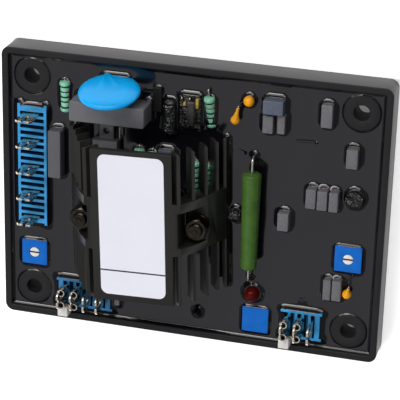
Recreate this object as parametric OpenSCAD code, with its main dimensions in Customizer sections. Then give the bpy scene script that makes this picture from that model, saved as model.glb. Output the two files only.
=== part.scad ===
// Automatic voltage regulator for a generator: a circuit board potted in a
// moulded tray, with blade terminals, trimmers and a finned heatsink over it.
// The tray lies on its back, its open face up, with the origin under its middle.

/* [Tray] */
// Width of the tray
tray_w = 142; // [139:0.5:160]
// Height of the tray, across its short side
tray_h = 104.5; // [102.5:0.5:120]
// Depth of the tray, from its back to its rim
tray_d = 11.2; // [10.6:0.1:14]
// Thickness of the tray's side wall
wall_t = 2.6; // [1.8:0.1:2.8]
// Thickness of the tray's back
back_t = 1.8; // [1.2:0.1:2.2]
// Outer corner radius of the tray
corner_r = 3.2; // [1.5:0.1:4.5]

/* [Mounting holes] */
// Distance of a mounting hole from the tray's left or right side
hole_edge_x = 11; // [10:0.1:12]
// Distance of a mounting hole from the tray's upper or lower side
hole_edge_y = 10.5; // [9.8:0.1:11.5]
// Diameter of a mounting hole
hole_d = 5.6; // [4.5:0.1:6.5]
// Diameter of the boss round a mounting hole
boss_d = 13; // [12:0.1:14.4]
// Height of a boss above the potting
boss_proud = 0.8; // [0.1:0.1:1]

/* [Potting and board] */
// Depth of the potting surface below the rim
potting_drop = 2.5; // [1.5:0.1:3]
// Thickness of the circuit board
board_t = 1.6; // [1:0.1:2]
// Height of the pads that hold the board off the back
board_gap = 1.6; // [1:0.1:1.8]
// Space between the board's edge and the wall
board_margin = 1.4; // [0.6:0.1:2]

/* [Heatsink] */
// Width of the flat top
hood_w = 29.5; // [28:0.1:30]
// Length of the heatsink
hood_len = 56.8; // [54:0.1:58]
// Height of the flat top above the potting
hood_rise = 25.1; // [23:0.1:28]
// Thickness of the flat top
hood_top_t = 2.6; // [1.6:0.1:3.2]
// Reach of the stepped fins beyond the flat top, each side
wing_w = 14.2; // [13:0.1:14.6]
// Thickness of a fin at its tip
fin_t = 1.3; // [0.9:0.1:1.6]
// Length of a fin from tip to root
fin_len = 5.5; // [4.5:0.1:6]
// Lean of a fin away from upright
fin_lean = 35; // [25:1:40]
// Length of the solid middle that carries the fins
hub_len = 19.6; // [18:0.1:22]
// Turn of the heatsink on the board
hood_turn = 2; // [0:0.5:3]

/* [Heatsink fasteners] */
// Diameter of a stud
stud_d = 4.6; // [4:0.1:5.2]
// Spacing of the two studs
stud_gap = 42.6; // [41:0.1:43.5]
// Width across the flats of a nut
nut_af = 7.6; // [7:0.1:8.2]
// Height of a nut
nut_h = 4; // [3:0.1:5]
// Diameter of a washer
washer_d = 8.8; // [8:0.1:9.2]
// Thickness of a washer
washer_t = 1; // [0.6:0.1:1.4]

/* [Label] */
// Width of the bare label
label_w = 23.9; // [20:0.1:27]
// Length of the bare label
label_len = 52.9; // [48:0.1:53.5]
// Thickness of the label
label_t = 0.15; // [0.1:0.05:0.3]

/* [Terminal strips] */
// Spacing of the slots along a strip
slot_pitch = 2.5; // [2.4:0.05:2.6]
// Width of a strip
strip_w = 11; // [10:0.1:11.4]
// Height of a strip above the potting
strip_rise = 2.6; // [2:0.1:4]
// Thickness of the rails along a strip
rail_t = 1; // [0.8:0.1:1.5]
// Width of one slot
slot_w = 1.4; // [1.1:0.05:1.6]
// Solid length at each end of a strip
strip_end = 2.1; // [1.6:0.1:2.3]
// Depth of the slots
slot_depth = 4.4; // [3:0.1:5]

/* [Blade terminals] */
// Width of a blade
blade_w = 6.3; // [5.6:0.1:6.6]
// Thickness of a blade, folded double
blade_t = 0.8; // [0.5:0.05:0.85]
// Height of a blade above its strip
blade_rise = 9.5; // [8:0.1:11]
// Width of the gap between the prongs
fork_w = 1.1; // [0.8:0.1:1.6]
// Depth of the gap between the prongs
fork_depth = 5; // [3:0.1:6]

/* [Trimmers] */
// Width of a trimmer, across its square body
trimmer_w = 9.8; // [9:0.1:10.2]
// Height of a trimmer above the potting
trimmer_rise = 1.5; // [1:0.1:2.5]
// Diameter of the bore for the rotor
rotor_bore_d = 3.8; // [3.5:0.1:4.6]
// Running clearance round the rotor, on the radius
rotor_clear = 0.05; // [0.03:0.01:0.08]
// Depth of the rotor's bore
rotor_depth = 2.6; // [2:0.1:3]
// Width of the screwdriver slot
slot_cut_w = 0.6; // [0.4:0.1:1]
// Depth of the screwdriver slot
slot_cut_h = 0.5; // [0.3:0.1:1]

/* [Power resistor] */
// Diameter of the enamelled body
power_d = 6.8; // [6.4:0.1:7.6]
// Length of the enamelled body
power_len = 37; // [34:0.5:38]
// Height of its axis above the potting
power_rise = 5.2; // [4.6:0.1:6.5]
// Diameter of its leads
power_lead_d = 0.9; // [0.6:0.1:1.2]

/* [Small parts] */
// Diameter of the disc varistor
disc_d = 22; // [20:0.1:23]
// Thickness of the disc varistor
disc_t = 3.6; // [3:0.1:4.4]
// Lean of the disc away from lying flat
disc_lean = 76; // [70:1:80]
// Diameter of a banded resistor's body
resistor_d = 4.1; // [3.4:0.1:4.3]
// Length of a banded resistor's body
resistor_len = 12; // [10.5:0.1:12.6]
// Diameter of the leads of small parts
lead_d = 0.7; // [0.5:0.05:0.9]
// Diameter of the lamp's dome
lamp_d = 5.5; // [4:0.1:5.8]
// Diameter of a bead capacitor
bead_d = 3.9; // [3.4:0.1:4.2]

/* [Hidden] */
$fn = 48;

// Overrun of a cut past the face that it opens
cut = 0.5;

// Spacing of the mounting holes
hole_dx = tray_w - 2 * hole_edge_x;
hole_dy = tray_h - 2 * hole_edge_y;

// Heights
potting_z = tray_d - potting_drop;
board_z = back_t + board_gap + board_t;
hood_z = potting_z + hood_rise;

// A place on the tray, from shares of its half width and half height
function at(share) = [share[0] * tray_w / 2, share[1] * tray_h / 2];

// Places of the parts, as shares of the tray's half width and half height
hood_at_share = [-0.204, -0.033];
strip_left_share = [-0.839, 0.151];
strip_lower_left_share = [-0.558, -0.790];
strip_lower_right_share = [0.594, -0.789];
trimmer_left_share = [-0.838, -0.522];
trimmer_right_share = [0.823, -0.255];
sealed_trimmer_share = [0.361, -0.808];
disc_share = [-0.397, 0.804];
box_cap_share = [-0.403, 0.653];
tall_cap_share = [-0.704, 0.276];
power_share = [0.327, -0.035];
lamp_share = [0.342, -0.603];
bead_shares = [[0.289, 0.806], [0.222, 0.660], [0.830, -0.502]];
resistor_shares = [[-0.668, 0.679], [0.090, 0.683], [-0.272, 0.253], [-0.203, 0.240],
    [0.017, 0.205], [0.081, 0.199]];
transistor_shares = [[0.839, 0.193], [0.238, -0.036]];
device_share = [-0.446, 0.465];
transformer_share = [-0.008, 0.678];
electrolytic_share = [-0.115, 0.634];
moulded_diode_share = [-0.177, 0.742];
diode_share = [0.055, -0.804];
wire_share = [-0.370, 0.467];

// Small film capacitors: places, and width, length and height above the potting
film_shares = [[0.420, 0.798], [0.393, 0.668], [0.459, 0.676], [0.682, 0.769],
    [0.820, 0.498], [0.627, 0.180], [0.684, 0.177], [0.741, 0.175], [0.492, -0.015],
    [0.731, -0.478], [0.780, -0.477], [-0.383, -0.823], [-0.127, 0.297]];
film_sizes = [[7.2, 5, 6], [3.7, 6.6, 4.3], [2.7, 6.8, 4.3], [4, 8.4, 4],
    [4, 7.1, 5.2], [3.6, 7.2, 5.2], [3.6, 7.2, 5.2], [3.2, 7.2, 5.2], [4, 6.8, 5],
    [2.8, 7.8, 4.5], [3.3, 7.8, 4.5], [2.1, 2.8, 1.8], [5.6, 9.6, 3.4]];
film_corner_r = 0.4;

// Large capacitors: width, length and height above the potting
box_cap_size = [27.6, 7.4, 11.5];
tall_cap_size = [4.9, 18.1, 6.1];
large_corner_r = 0.7;

// Board pads and the power module under the heatsink
pad_d = 6;
module_size = [22, 14];

// Fin tips on one side: reach beyond the flat top as shares of wing_w, and
// height above the potting as shares of hood_rise
fin_reach_shares = [0.162, 0.430, 0.641, 0.817];
fin_height_shares = [0.972, 0.761, 0.530, 0.311];
foot_height_share = 0.191;
hub_shift = 0.6;
nut_pocket_size = [9.6, 13.4];
nut_pocket_shift = 1.5;
nut_seat_rise = 13.8;
stud_offset = 1.1;
stud_clear = 0.2;
stud_flange_d = 8;
stud_flange_t = 1.5;
stud_past_nut = 1.2;
stud_post_d = 9;
label_corner_r = 2.6;
label_shift = 0.5;

// Strips: number of slots, and slots from one blade to the next
left_slots = 17;
left_step = 4;
lower_left_slots = 7;
lower_right_slots = 5;
lower_step = 2;
lower_right_trim = 1.4;
end_notch = 1.6;
blade_chamfer = 0.9;

// Push-on links
curl_d = 2.8;
curl_t = 0.4;
link_lift = 0.6;
link_len = 6.2;
bridge_t = 1.2;
bridge_lift = 1.4;
bridge_h = 1.6;
sleeve_size = [3.9, 4, 4.8];
sleeve_gap = 0.1;
sleeve_shift = 1.4;

// Lamp, transistors and other small parts
lamp_flange_d = 6.3;
lamp_flange_t = 1;
lamp_rise = 5.6;
to92_ds = [6.4, 4.8];
to92_flat_shares = [0.4, 0.22];
to92_rise = 3.2;
device_size = [9.6, 8.6, 4.2];
device_tab_size = [5.4, 5.8, 1.3];
device_hole_d = 2.4;
transformer_base = [7.9, 12.2, 2.6];
transformer_core = [4.6, 9.4, 4.6];
electrolytic_d = 5.2;
electrolytic_len = 12.6;
electrolytic_rise = 1.7;
groove_from_end = 1.6;
groove_r = 0.25;
moulded_diode_size = [3.2, 8.6, 2.9];
moulded_lead_len = 4.2;
moulded_lead_shift = 2.2;
diode_d = 2.6;
diode_rise = 5.2;
wire_span = 5;
wire_rise = 2.4;
disc_rise = 9.2;
disc_rim_r = 1.5;
disc_ridge_d = 1.8;
disc_ridge_len = 10.2;
disc_ridge_spread = 15;
disc_ridge_sink = 0.45;
resistor_rises = [0.5, 0.5, 0.9, 0.9, 0.9, 0.9];
resistor_tilts = [5, 7, 0, 0, 0, 0];
resistor_leads_out = [1.1, 1.1, 1.1, 1.1, 1.1, 1.1];
resistor_cap_len = 2.6;
resistor_waist_share = 0.84;
bead_neck_d = 2.2;
bead_neck_share = 0.9;
bead_tip_d = 1.1;
bead_rise = 2.6;
bent_bead_d = 3.3;
bent_bead_len = 5.4;
bent_bead_rise = 2.2;
bent_bead_lean = 74;
bent_bead_turn = 76;
lower_bead_share = 0.88;
neck_len = 3.4;
neck_lean = 58;
power_flare_len = 3.4;
flange_t = 1;
power_flare_share = 1.03;
power_lead_out = 5.2;
lead_turn_r = 0.9;

// Rectangle with round corners, about the origin
module round_rect(w, l, r) {
    square([w - 2 * r, l], center = true);
    square([w, l - 2 * r], center = true);
    for (x = [-1, 1]) {
        for (y = [-1, 1]) {
            translate([x * (w / 2 - r), y * (l / 2 - r)]) circle(r = r);
        }
    }
}

// Puts its children at a place on the tray, given as shares
module place(share) {
    p = at(share);
    translate([p[0], p[1], 0]) children();
}

module at_holes() {
    for (x = [-1, 1]) {
        for (y = [-1, 1]) {
            translate([x * hole_dx / 2, y * hole_dy / 2, 0]) children();
        }
    }
}

// Inner outline of the tray
module tray_inside(margin) {
    round_rect(tray_w - 2 * (wall_t + margin), tray_h - 2 * (wall_t + margin),
        max(corner_r - wall_t, film_corner_r));
}

// Tray: a moulding with four through bosses and low pads under the board
module tray() color([0.29, 0.29, 0.30]) {
    difference() {
        union() {
            difference() {
                linear_extrude(tray_d) round_rect(tray_w, tray_h, corner_r);
                translate([0, 0, back_t]) linear_extrude(tray_d) tray_inside(0);
            }
            at_holes() cylinder(h = potting_z + boss_proud, d = boss_d);
            pads();
        }
        at_holes() translate([0, 0, -cut]) cylinder(h = tray_d + 2 * cut, d = hole_d);
    }
}

module pads() {
    for (x = [-1, 1]) {
        translate([x * hole_dx / 4, 0, 0]) cylinder(h = back_t + board_gap, d = pad_d);
    }
}

// Circuit board, notched round the bosses
module circuit_board() color([0.12, 0.36, 0.2]) {
    difference() {
        translate([0, 0, back_t + board_gap]) linear_extrude(board_t) tray_inside(board_margin);
        at_holes() cylinder(h = tray_d, d = boss_d + 2 * board_margin);
        board_corners();
    }
}

// What is left of the board outside the notches
module board_corners() {
    for (x = [-1, 1]) {
        for (y = [-1, 1]) {
            translate([x * (hole_dx / 2 + boss_d), y * (hole_dy / 2 + boss_d), 0]) {
                linear_extrude(tray_d) square([2 * boss_d, 2 * boss_d], center = true);
            }
        }
    }
}

// Potting resin: fills the tray round the board and every embedded part
module potting_resin() color([0.18, 0.18, 0.2]) {
    difference() {
        translate([0, 0, back_t]) linear_extrude(potting_z - back_t) tray_inside(0);
        at_holes() cylinder(h = tray_d, d = boss_d);
        pads();
        circuit_board();
        embedded();
    }
}

// A prism from the board up past the potting surface
module root(share) {
    place(share) translate([0, 0, board_z]) linear_extrude(tray_d) children();
}

// Everything that the resin is cast round
module embedded() {
    root(strip_left_share) rotate(90) strip_outline(left_slots);
    root(strip_lower_left_share) strip_outline(lower_left_slots);
    root(strip_lower_right_share) strip_outline(lower_right_slots, lower_right_trim);
    for (share = [trimmer_left_share, trimmer_right_share, sealed_trimmer_share]) {
        root(share) trimmer_outline();
    }
    root(box_cap_share) box_outline(box_cap_size, large_corner_r);
    root(tall_cap_share) box_outline(tall_cap_size, large_corner_r);
    for (i = [0 : len(film_shares) - 1]) {
        root(film_shares[i]) box_outline(film_sizes[i], film_corner_r);
    }
    for (i = [0 : len(transistor_shares) - 1]) root(transistor_shares[i]) to92_outline(i);
    root(device_share) device_outline();
    root(transformer_share) square([transformer_base[0], transformer_base[1]], center = true);
    root(moulded_diode_share) box_outline(moulded_diode_size, film_corner_r);
    root(diode_share) circle(d = diode_d);
    place(lamp_share) {
        translate([0, 0, potting_z - lamp_flange_t]) cylinder(h = tray_d, d = lamp_flange_d);
    }
    for (i = [0 : len(resistor_shares) - 1]) resistor_body(i);
    disc_body();
    electrolytic_body();
    power_module();
    heatsink_studs();
}

module box_outline(size, r) {
    round_rect(size[0], size[1], r);
}

// Heatsink

module on_hood() {
    place(hood_at_share) rotate(hood_turn) children();
}

// Offset from a fin's tip to its root
fin_back = fin_len * sin(fin_lean);
fin_down = fin_len * cos(fin_lean);

function tip_x(i) = hood_w / 2 + fin_reach_shares[i] * wing_w;
function tip_z(i) = potting_z + fin_height_shares[i] * hood_rise;
foot_x = hood_w / 2 + wing_w;
foot_z = potting_z + foot_height_share * hood_rise;
fins = len(fin_reach_shares);

// Cross-section of one fin, leaning out
module fin_section(i) {
    polygon([[tip_x(i) - fin_t / 2, tip_z(i)], [tip_x(i) + fin_t / 2, tip_z(i)],
        [tip_x(i) + fin_t / 2 - fin_back, tip_z(i) - fin_down],
        [tip_x(i) - fin_t / 2 - fin_back, tip_z(i) - fin_down]]);
}

// Cross-section of the foot that stands on the potting
module foot_section() {
    translate([foot_x - fin_t, potting_z]) square([fin_t, foot_z - potting_z]);
}

// Cross-section of one half of the solid middle, which follows the fin tips
module hub_section() {
    polygon(concat(
        [[0, hood_z], [hood_w / 2, hood_z]],
        [for (i = [0 : fins - 1]) [tip_x(i) + fin_t / 2, tip_z(i)]],
        [[foot_x, foot_z], [foot_x, potting_z], [foot_x - fin_t, potting_z]],
        [for (i = [fins - 1 : -1 : 0]) [tip_x(i) - fin_t / 2 - fin_back, tip_z(i) - fin_down]],
        [[0, tip_z(0) - fin_down]]));
}

// Both halves of a cross-section, drawn out along the heatsink
module drawn(from, length) {
    for (side = [0, 1]) {
        mirror([side, 0, 0]) {
            translate([0, from + length, 0]) rotate([90, 0, 0]) linear_extrude(length) children();
        }
    }
}

module at_studs() {
    for (x = [-1, 1]) {
        translate([x * stud_gap / 2, -stud_offset, 0]) children();
    }
}

hub_from = hub_shift - hub_len / 2;
core_from = -stud_offset - module_size[1] / 2;
nut_seat_z = potting_z + nut_seat_rise;

module heatsink() color([0.16, 0.16, 0.15]) on_hood() {
    difference() {
        union() {
            translate([-hood_w / 2, -hood_len / 2, hood_z - hood_top_t]) {
                cube([hood_w, hood_len, hood_top_t]);
            }
            drawn(-hood_len / 2, hood_len) foot_section();
            for (i = [0 : fins - 1]) drawn(-hood_len / 2, hood_len) fin_section(i);
            drawn(hub_from, hub_len) hub_section();
            translate([-module_size[0] / 2, core_from, potting_z]) {
                cube([module_size[0], module_size[1], hood_rise - hood_top_t]);
            }
            at_studs() translate([0, 0, potting_z]) cylinder(h = nut_seat_rise, d = stud_post_d);
        }
        at_studs() {
            translate([0, nut_pocket_shift, nut_seat_z]) linear_extrude(hood_rise) nut_pocket();
            translate([0, 0, potting_z - cut]) {
                cylinder(h = hood_rise, d = stud_d + 2 * stud_clear);
            }
        }
    }
}

// Outline of the recess that a nut sits in
module nut_pocket() {
    round_rect(nut_pocket_size[0], nut_pocket_size[1], large_corner_r);
}

// Power module under the heatsink's solid middle, flush with the potting
module power_module() color([0.1, 0.1, 0.11]) on_hood() {
    translate([-module_size[0] / 2, core_from, board_z]) {
        cube([module_size[0], module_size[1], potting_z - board_z]);
    }
}

// Studs: flanged, set on the board, one through each side of the heatsink
module heatsink_studs() color([0.62, 0.6, 0.54]) on_hood() at_studs() {
    translate([0, 0, board_z]) {
        cylinder(h = stud_flange_t, d = stud_flange_d);
        cylinder(h = nut_seat_z + washer_t + nut_h + stud_past_nut - board_z, d = stud_d);
    }
}

module heatsink_washers() color([0.6, 0.58, 0.52]) on_hood() at_studs() {
    translate([0, 0, nut_seat_z]) difference() {
        cylinder(h = washer_t, d = washer_d);
        translate([0, 0, -cut]) cylinder(h = washer_t + 2 * cut, d = stud_d + stud_clear);
    }
}

module heatsink_nuts() color([0.6, 0.58, 0.52]) on_hood() at_studs() {
    translate([0, 0, nut_seat_z + washer_t]) difference() {
        cylinder(h = nut_h, d = nut_af / cos(30), $fn = 6);
        translate([0, 0, -cut]) cylinder(h = nut_h + 2 * cut, d = stud_d);
    }
}

module blank_label() color([0.93, 0.93, 0.94]) on_hood() {
    translate([0, label_shift, hood_z]) {
        linear_extrude(label_t) round_rect(label_w, label_len, label_corner_r);
    }
}

// Terminal strips

function strip_len(slots) = slots * slot_pitch + 2 * strip_end;

module strip_outline(slots, trim = 0) {
    translate([trim / 2, 0]) square([strip_len(slots) - trim, strip_w], center = true);
}

strip_z = potting_z + strip_rise;

// One strip along X, with a row of slots across it between two rails, whose
// ends stand out past the end posts
module strip(slots, trim = 0) {
    difference() {
        translate([0, 0, board_z]) linear_extrude(strip_z - board_z) strip_outline(slots, trim);
        for (x = [trim - strip_len(slots) / 2 - cut, strip_len(slots) / 2 - end_notch]) {
            translate([x, -strip_w / 2 + rail_t, potting_z]) {
                cube([end_notch + cut, strip_w - 2 * rail_t, strip_rise + cut]);
            }
        }
        for (i = [0 : slots - 1]) {
            translate([(i - (slots - 1) / 2) * slot_pitch, 0, strip_z - slot_depth]) {
                translate([-slot_w / 2, -strip_w / 2 + rail_t, 0]) {
                    cube([slot_w, strip_w - 2 * rail_t, slot_depth + cut]);
                }
            }
        }
    }
}

// One forked blade, its width along Y, standing on the floor of its slot
module blade() {
    h = slot_depth + blade_rise;
    translate([blade_t / 2, 0, strip_z - slot_depth]) rotate([0, -90, 0]) {
        linear_extrude(blade_t) difference() {
            polygon([[0, -blade_w / 2], [h - blade_chamfer, -blade_w / 2],
                [h, blade_chamfer - blade_w / 2], [h, blade_w / 2 - blade_chamfer],
                [h - blade_chamfer, blade_w / 2], [0, blade_w / 2]]);
            translate([h - fork_depth, -fork_w / 2]) square([fork_depth + cut, fork_w]);
            translate([h - fork_depth, 0]) circle(d = fork_w);
        }
    }
}

// Place along a strip of blade number i
function way_x(slots, step, i) = (i * step - (slots - 1) / 2) * slot_pitch;

module blades(slots, step) {
    for (i = [0 : floor((slots - 1) / step)]) {
        translate([way_x(slots, step, i), 0, 0]) blade();
    }
}

module terminal_strip_left() color([0.27, 0.6, 0.84]) {
    place(strip_left_share) rotate(90) strip(left_slots);
}

module terminal_strip_lower_left() color([0.27, 0.6, 0.84]) {
    place(strip_lower_left_share) strip(lower_left_slots);
}

module terminal_strip_lower_right() color([0.27, 0.6, 0.84]) {
    place(strip_lower_right_share) strip(lower_right_slots, lower_right_trim);
}

module blades_left() color([0.8, 0.79, 0.76]) {
    place(strip_left_share) rotate(90) blades(left_slots, left_step);
}

module blades_lower_left() color([0.8, 0.79, 0.76]) {
    place(strip_lower_left_share) blades(lower_left_slots, lower_step);
}

module blades_lower_right() color([0.8, 0.79, 0.76]) {
    place(strip_lower_right_share) blades(lower_right_slots, lower_step);
}

// Push-on links over the first two blades of a lower strip

// Section of one receptacle: a flat back with both edges curled over
module curl_section() {
    translate([-blade_t / 2 - curl_t, -blade_w / 2]) square([curl_t, blade_w]);
    for (y = [-1, 1]) {
        translate([curl_d / 2 - curl_t - blade_t / 2, y * (blade_w - curl_d / 2) / 2]) {
            difference() {
                circle(d = curl_d);
                circle(d = curl_d - 2 * curl_t);
            }
        }
    }
}

module receptacle() {
    translate([0, 0, strip_z + link_lift]) linear_extrude(link_len) difference() {
        curl_section();
        square([blade_t, blade_w], center = true);
    }
}

link_gap = lower_step * slot_pitch;
bridge_z = strip_z + bridge_lift;
curl_y = -(blade_w - curl_d / 2) / 2 - curl_d / 2;
bridge_y = curl_y + curl_t - bridge_t / 2;

// Two receptacles joined by a flat bridge at their lower ends
module link(slots) {
    for (i = [0, 1]) {
        translate([way_x(slots, lower_step, i), 0, 0]) receptacle();
    }
    translate([way_x(slots, lower_step, 0) - curl_t, bridge_y - bridge_t / 2, bridge_z]) {
        cube([link_gap + 2 * curl_t, bridge_t, bridge_h]);
    }
}

// Insulating sleeve over the bridge
module link_sleeve(slots) {
    x = way_x(slots, lower_step, 0) - sleeve_shift;
    difference() {
        translate([x, curl_y - sleeve_gap - sleeve_size[1], strip_z]) cube(sleeve_size);
        translate([x - cut, bridge_y - bridge_t / 2, bridge_z]) {
            cube([sleeve_size[0] + 2 * cut, bridge_t + cut, bridge_h]);
        }
    }
}

module link_lower_left() color([0.78, 0.77, 0.74]) {
    place(strip_lower_left_share) link(lower_left_slots);
}

module link_sleeve_lower_left() color([0.94, 0.94, 0.93]) {
    place(strip_lower_left_share) link_sleeve(lower_left_slots);
}

module link_lower_right() color([0.78, 0.77, 0.74]) {
    place(strip_lower_right_share) link(lower_right_slots);
}

module link_sleeve_lower_right() color([0.94, 0.94, 0.93]) {
    place(strip_lower_right_share) link_sleeve(lower_right_slots);
}

// Trimmers

module trimmer_outline() {
    square([trimmer_w, trimmer_w], center = true);
}

trimmer_z = potting_z + trimmer_rise;

module trimmer_block() {
    translate([0, 0, board_z]) linear_extrude(trimmer_z - board_z) trimmer_outline();
}

module trimmer_body() {
    difference() {
        trimmer_block();
        translate([0, 0, trimmer_z - rotor_depth]) {
            cylinder(h = rotor_depth + cut, d = rotor_bore_d);
        }
    }
}

// Rotor: a slotted disc that turns in the body's bore
module trimmer_rotor() {
    rotor_d = rotor_bore_d - 2 * rotor_clear;
    translate([0, 0, trimmer_z - rotor_depth + rotor_clear]) difference() {
        cylinder(h = rotor_depth - rotor_clear, d = rotor_d);
        translate([-rotor_d, -slot_cut_w / 2, rotor_depth - rotor_clear - slot_cut_h]) {
            cube([2 * rotor_d, slot_cut_w, slot_cut_h + cut]);
        }
    }
}

module trimmer_body_left() color([0.14, 0.39, 0.75]) place(trimmer_left_share) trimmer_body();

module trimmer_body_right() color([0.14, 0.39, 0.75]) place(trimmer_right_share) trimmer_body();

module sealed_trimmer() color([0.14, 0.42, 0.8]) place(sealed_trimmer_share) trimmer_block();

module trimmer_rotor_left() color([0.92, 0.9, 0.86]) place(trimmer_left_share) trimmer_rotor();

module trimmer_rotor_right() color([0.92, 0.9, 0.86]) place(trimmer_right_share) trimmer_rotor();

// Box-shaped capacitors

module boxed(share, size, r) {
    place(share) translate([0, 0, board_z]) {
        linear_extrude(potting_z + size[2] - board_z) box_outline(size, r);
    }
}

module box_capacitor() color([0.31, 0.31, 0.32]) {
    boxed(box_cap_share, box_cap_size, large_corner_r);
}

module tall_film_capacitor() color([0.4, 0.41, 0.43]) {
    boxed(tall_cap_share, tall_cap_size, large_corner_r);
}

module film(i) color([0.49, 0.49, 0.51]) {
    boxed(film_shares[i], film_sizes[i], film_corner_r);
}

module film_capacitor_1() film(0);
module film_capacitor_2() film(1);
module film_capacitor_3() film(2);
module film_capacitor_4() film(3);
module film_capacitor_5() film(4);
module film_capacitor_6() film(5);
module film_capacitor_7() film(6);
module film_capacitor_8() film(7);
module film_capacitor_9() film(8);
module film_capacitor_10() film(9);
module film_capacitor_11() film(10);
module film_capacitor_12() film(11);
module film_capacitor_13() film(12);

// Disc varistor: its lower edge sunk in the potting, leaning over the box
// capacitor, with a ridge over each lead
module disc_body() {
    reach = disc_d / 2 - disc_rim_r;
    place(disc_share) translate([0, 0, potting_z + disc_rise]) rotate([-disc_lean, 0, 0]) {
        rotate_extrude() {
            translate([0, -disc_t / 2]) square([reach, disc_t]);
            translate([0, -disc_t / 2 + disc_rim_r]) square([disc_d / 2, disc_t - 2 * disc_rim_r]);
            for (y = [-1, 1]) {
                translate([reach, y * (disc_t / 2 - disc_rim_r)]) circle(r = disc_rim_r);
            }
        }
    }
}

module disc_varistor() color([0.12, 0.6, 0.95]) {
    disc_body();
    place(disc_share) translate([0, 0, potting_z + disc_rise]) rotate([-disc_lean, 0, 0]) {
        for (side = [-1, 1]) {
            translate([0, disc_d / 2 - 2 * disc_rim_r, disc_t / 2 - disc_ridge_sink]) {
                rotate([0, 0, side * disc_ridge_spread]) rotate([90, 0, 0]) {
                    cylinder(h = disc_ridge_len, d = disc_ridge_d);
                }
            }
        }
    }
}

// Bead capacitor on a neck that stands on the potting
module bead() {
    translate([0, 0, potting_z + bead_rise]) sphere(d = bead_d);
    translate([0, 0, potting_z]) {
        cylinder(h = bead_rise, d1 = bead_neck_d, d2 = bead_neck_share * bead_d);
    }
}

// A bead bent over on its lead, its neck towards the upper right
module bead_bent(d, rise, length, lean, turn) {
    translate([0, 0, potting_z + rise]) rotate([0, 0, turn]) {
        sphere(d = d);
        rotate([0, lean, 0]) cylinder(h = length, d1 = bead_neck_share * d, d2 = bead_tip_d);
    }
    translate([0, 0, potting_z]) cylinder(h = rise, d = lead_d);
}

module bead_capacitor_upper() color([0.92, 0.65, 0.16]) place(bead_shares[0]) bead();

module bead_capacitor_leaning() color([0.92, 0.65, 0.16]) place(bead_shares[1]) {
    bead_bent(bent_bead_d, bent_bead_rise, bent_bead_len, bent_bead_lean, bent_bead_turn);
}

module bead_capacitor_lower() color([0.92, 0.65, 0.16]) place(bead_shares[2]) {
    bead_bent(lower_bead_share * bead_d, bead_rise, neck_len, neck_lean, bent_bead_turn);
}

// Puts its children on a resistor's axis, tilted so that the lower end sinks
module on_resistor(i) {
    place(resistor_shares[i]) translate([0, 0, potting_z + resistor_rises[i]]) {
        rotate([resistor_tilts[i], 0, 0]) children();
    }
}

// Banded resistor: lies along Y, part sunk in the potting
module resistor_body(i) {
    half = resistor_len / 2;
    waist = resistor_waist_share * resistor_d / 2;
    on_resistor(i) rotate([90, 0, 0]) rotate_extrude() {
        polygon([[0, -half], [waist, -half], [resistor_d / 2, resistor_cap_len / 3 - half],
            [resistor_d / 2, resistor_cap_len - half], [waist, resistor_cap_len * 4 / 3 - half],
            [waist, half - resistor_cap_len * 4 / 3], [resistor_d / 2, half - resistor_cap_len],
            [resistor_d / 2, half - resistor_cap_len / 3], [waist, half], [0, half]]);
    }
}

// The lead at the lower end shows only where the resistor lies level
module resistor(i) color([0.5, 0.82, 0.68]) {
    resistor_body(i);
    lead_out = resistor_leads_out[i];
    out = resistor_len / 2 + lead_out;
    tilt = resistor_tilts[i];
    rise = resistor_rises[i];
    for (side = tilt > 0 ? [1] : [-1, 1]) {
        on_resistor(i) translate([0, side * out, 0]) {
            sphere(d = lead_d);
            rotate([side * 90, 0, 0]) cylinder(h = lead_out + resistor_cap_len, d = lead_d);
        }
        place(resistor_shares[i]) translate([0, side * out * cos(tilt), potting_z]) {
            cylinder(h = rise + side * out * sin(tilt), d = lead_d);
        }
    }
}

module resistor_upper_left() resistor(0);
module resistor_upper_middle() resistor(1);
module resistor_under_top_1() resistor(2);
module resistor_under_top_2() resistor(3);
module resistor_between_fins_1() resistor(4);
module resistor_between_fins_2() resistor(5);

// Wirewound power resistor: an enamelled tube with flared ends
power_z = potting_z + power_rise;

module power_resistor() color([0.3, 0.46, 0.2]) place(power_share) {
    half = power_len / 2;
    flare = power_flare_share * power_d / 2;
    translate([0, 0, power_z]) rotate([90, 0, 0]) rotate_extrude() {
        polygon([[power_lead_d / 2, -half], [power_d / 2, -half], [flare, flange_t - half],
            [flare, power_flare_len - half - flange_t], [power_d / 2, power_flare_len - half],
            [power_d / 2, half - power_flare_len], [flare, half - power_flare_len + flange_t],
            [flare, half - flange_t], [power_d / 2, half], [power_lead_d / 2, half]]);
    }
}

// Its two leads, bent down to the potting
module power_resistor_leads() color([0.8, 0.8, 0.78]) place(power_share) {
    out = power_len / 2 + power_lead_out;
    for (side = [-1, 1]) {
        translate([0, side * out, power_z]) {
            sphere(d = power_lead_d);
            rotate([side * 90, 0, 0]) cylinder(h = 2 * power_lead_out, d = power_lead_d);
            translate([0, 0, -power_rise]) cylinder(h = power_rise, d = power_lead_d);
        }
    }
}

// Lamp, transistors and the other small parts

module indicator_lamp() color([0.5, 0.07, 0.08]) place(lamp_share) {
    translate([0, 0, potting_z - lamp_flange_t]) cylinder(h = lamp_flange_t, d = lamp_flange_d);
    translate([0, 0, potting_z]) cylinder(h = lamp_rise - lamp_d / 2, d = lamp_d);
    translate([0, 0, potting_z + lamp_rise - lamp_d / 2]) sphere(d = lamp_d);
}

module to92_outline(i) {
    d = to92_ds[i];
    difference() {
        circle(d = d);
        translate([-d, -d - d * to92_flat_shares[i]]) square([2 * d, d]);
    }
}

module transistor(i) color([0.14, 0.14, 0.15]) place(transistor_shares[i]) {
    translate([0, 0, board_z]) linear_extrude(potting_z + to92_rise - board_z) to92_outline(i);
}

module transistor_right() transistor(0);
module transistor_middle() transistor(1);

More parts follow.
